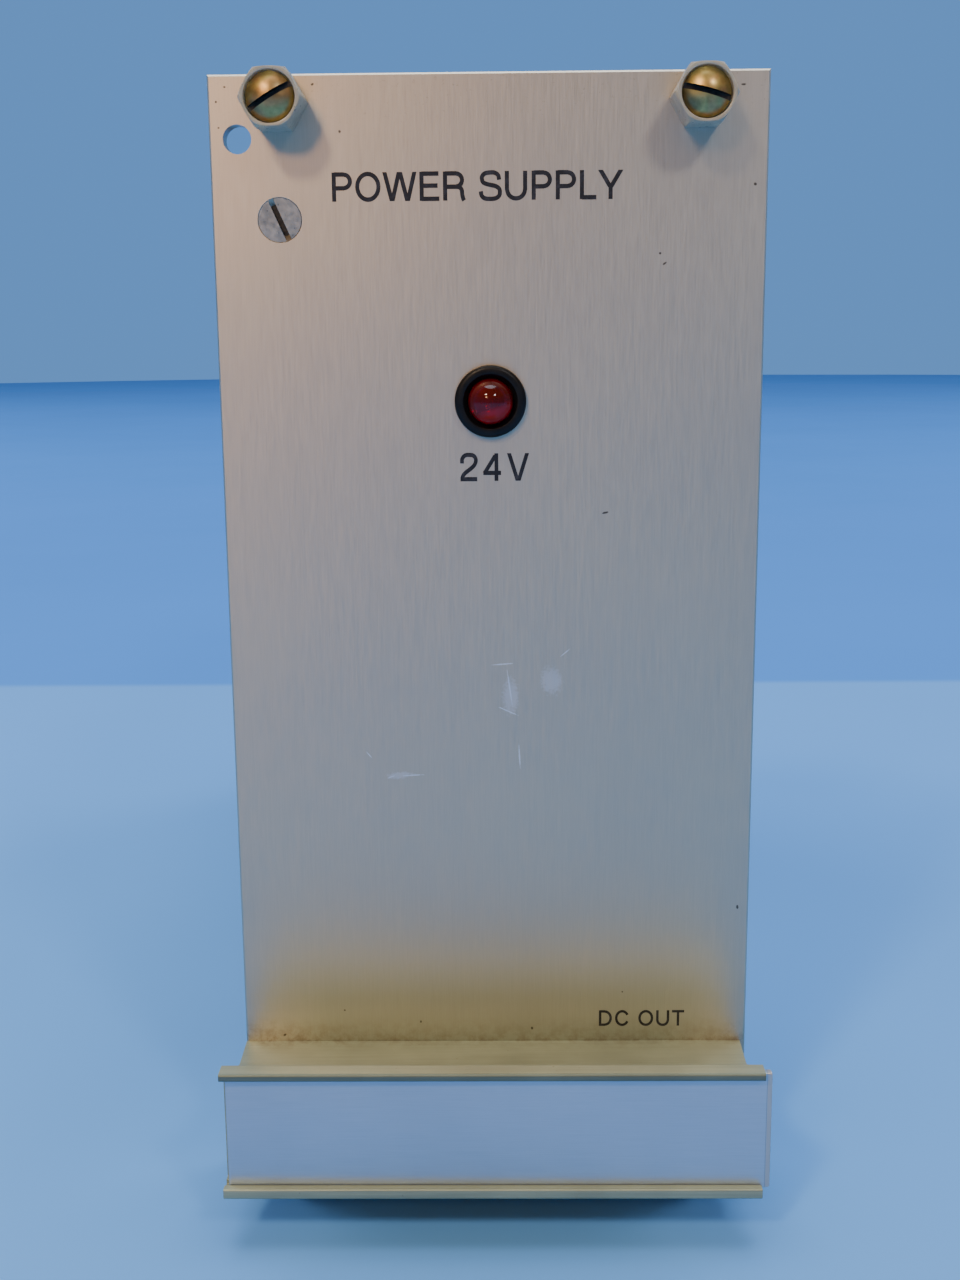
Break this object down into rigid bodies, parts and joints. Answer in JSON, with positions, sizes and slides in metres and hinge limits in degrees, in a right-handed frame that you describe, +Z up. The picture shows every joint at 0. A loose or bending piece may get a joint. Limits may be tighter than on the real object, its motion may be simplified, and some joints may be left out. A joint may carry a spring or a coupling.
{
  "type": "plug-in power supply module",
  "caption": "Rack plug-in power supply card: brushed aluminium front panel with captive collar screws, lamp and pull handle; open circuit board with transformer and rear plug behind.",
  "frame": {"origin": "on the floor, under the middle of the whole card's bounding box", "axes": "+X to the right as seen from the front, +Y from the front panel to the rear plug, +Z up"},
  "size_m": [0.0609, 0.1948, 0.1284],
  "materials": {
    "panel": "natural anodised, brushed upright",
    "handle": "olive anodised extrusion, satin",
    "strip": "natural anodised, satin",
    "nylon": "milky, slightly see-through",
    "chromate_steel": "yellow chromate over zinc",
    "zinc_steel": "zinc plated",
    "black_plastic": "moulded",
    "red_lens": "clear dark red",
    "tinned": "tinned",
    "wire_black": "soft insulation",
    "wire_red": "soft insulation",
    "die_cast": "die cast",
    "board": "glass-epoxy laminate with a green mask",
    "plug_plastic": "glass-filled grey moulding",
    "lamination": "varnished sheet steel stack",
    "bobbin": "moulded",
    "winding_tape": "yellow polyester tape",
    "can_sleeve": "blue shrink sleeve",
    "film_case": "boxed",
    "black_aluminium": "black anodised",
    "pad": "soft insulating sheet",
    "glass": "clear tube",
    "resistor_lacquer": "tan lacquer",
    "cement": "white ceramic",
    "disc_lacquer": "dipped",
    "trimmer_plastic": "moulded",
    "brass": "turned"
  },
  "bodies": {
    "root": {"board_bracket_lower": "die_cast", "board_bracket_upper": "die_cast", "bracket_board_nuts": "zinc_steel", "bracket_board_screws": "zinc_steel", "bracket_screw": "zinc_steel", "bridge_rectifier": "black_plastic", "circuit_board": "board", "collar_sleeve_lower_left": "nylon", "collar_sleeve_lower_right": "nylon", "collar_sleeve_upper_left": "nylon", "collar_sleeve_upper_right": "nylon", "control_chip": "black_plastic", "diodes": "black_plastic", "film_capacitor": "film_case", "front_panel": "panel", "fuse_caps": "tinned", "fuse_clips": "tinned", "fuse_glass": "glass", "handle": "handle", "handle_screw_left": "zinc_steel", "handle_screw_right": "zinc_steel", "heatsink": "black_aluminium", "insulating_pad": "pad", "lamp": "red_lens", "lamp_bezel": "black_plastic", "lamp_leads": "tinned", "lamp_lock_ring": "black_plastic", "lamp_wire_minus": "wire_black", "lamp_wire_plus": "wire_red", "output_capacitor": "can_sleeve", "plug_blades": "tinned", "plug_nuts": "zinc_steel", "plug_screws": "zinc_steel", "plug_shell": "plug_plastic", "power_resistor": "cement", "primary_winding": "winding_tape", "resistors": "resistor_lacquer", "secondary_winding": "winding_tape", "smoothing_capacitor_lower": "can_sleeve", "smoothing_capacitor_upper": "can_sleeve", "surge_arrester": "disc_lacquer", "transformer_bobbin": "bobbin", "transformer_core": "lamination", "transformer_screws": "zinc_steel", "transformer_straps": "zinc_steel", "transistor_body": "black_plastic", "transistor_screw": "zinc_steel", "transistor_tab": "tinned", "trimmer_body": "trimmer_plastic"},
    "screw_carrier_lower_left": {"lock_washer_lower_left": "chromate_steel"},
    "screw_lower_left": {"captive_screw_lower_left": "chromate_steel"},
    "screw_carrier_lower_right": {"lock_washer_lower_right": "chromate_steel"},
    "screw_lower_right": {"captive_screw_lower_right": "chromate_steel"},
    "screw_carrier_upper_left": {"lock_washer_upper_left": "chromate_steel"},
    "screw_upper_left": {"captive_screw_upper_left": "chromate_steel"},
    "screw_carrier_upper_right": {"lock_washer_upper_right": "chromate_steel"},
    "screw_upper_right": {"captive_screw_upper_right": "chromate_steel"},
    "label_strip": {"label_strip": "strip"},
    "trimmer_screw": {"trimmer_screw": "brass"}
  },
  "joints": [
    {"name": "screw_pull_lower_left", "type": "slide", "parent": "root", "child": "screw_carrier_lower_left", "axis": [0, -1, 0], "range_m": [0, 0.0045]},
    {"name": "screw_turn_lower_left", "type": "hinge", "parent": "screw_carrier_lower_left", "child": "screw_lower_left", "pos_m": [-0.02285, -0.07865, 0.003], "axis": [0, -1, 0], "continuous": true},
    {"name": "screw_pull_lower_right", "type": "slide", "parent": "root", "child": "screw_carrier_lower_right", "axis": [0, -1, 0], "range_m": [0, 0.0045]},
    {"name": "screw_turn_lower_right", "type": "hinge", "parent": "screw_carrier_lower_right", "child": "screw_lower_right", "pos_m": [0.02285, -0.07865, 0.003], "axis": [0, -1, 0], "continuous": true},
    {"name": "screw_pull_upper_left", "type": "slide", "parent": "root", "child": "screw_carrier_upper_left", "axis": [0, -1, 0], "range_m": [0, 0.0045]},
    {"name": "screw_turn_upper_left", "type": "hinge", "parent": "screw_carrier_upper_left", "child": "screw_upper_left", "pos_m": [-0.02285, -0.07865, 0.1254], "axis": [0, -1, 0], "continuous": true},
    {"name": "screw_pull_upper_right", "type": "slide", "parent": "root", "child": "screw_carrier_upper_right", "axis": [0, -1, 0], "range_m": [0, 0.0045]},
    {"name": "screw_turn_upper_right", "type": "hinge", "parent": "screw_carrier_upper_right", "child": "screw_upper_right", "pos_m": [0.02285, -0.07865, 0.1254], "axis": [0, -1, 0], "continuous": true},
    {"name": "label_slide", "type": "slide", "parent": "root", "child": "label_strip", "axis": [1, 0, 0], "range_m": [-0.0005, 0.0595]},
    {"name": "trimmer_turn", "type": "hinge", "parent": "root", "child": "trimmer_screw", "pos_m": [-0.0224, -0.05165, 0.0462], "axis": [1, 0, 0], "range_deg": [-140, 140]}
  ]
}
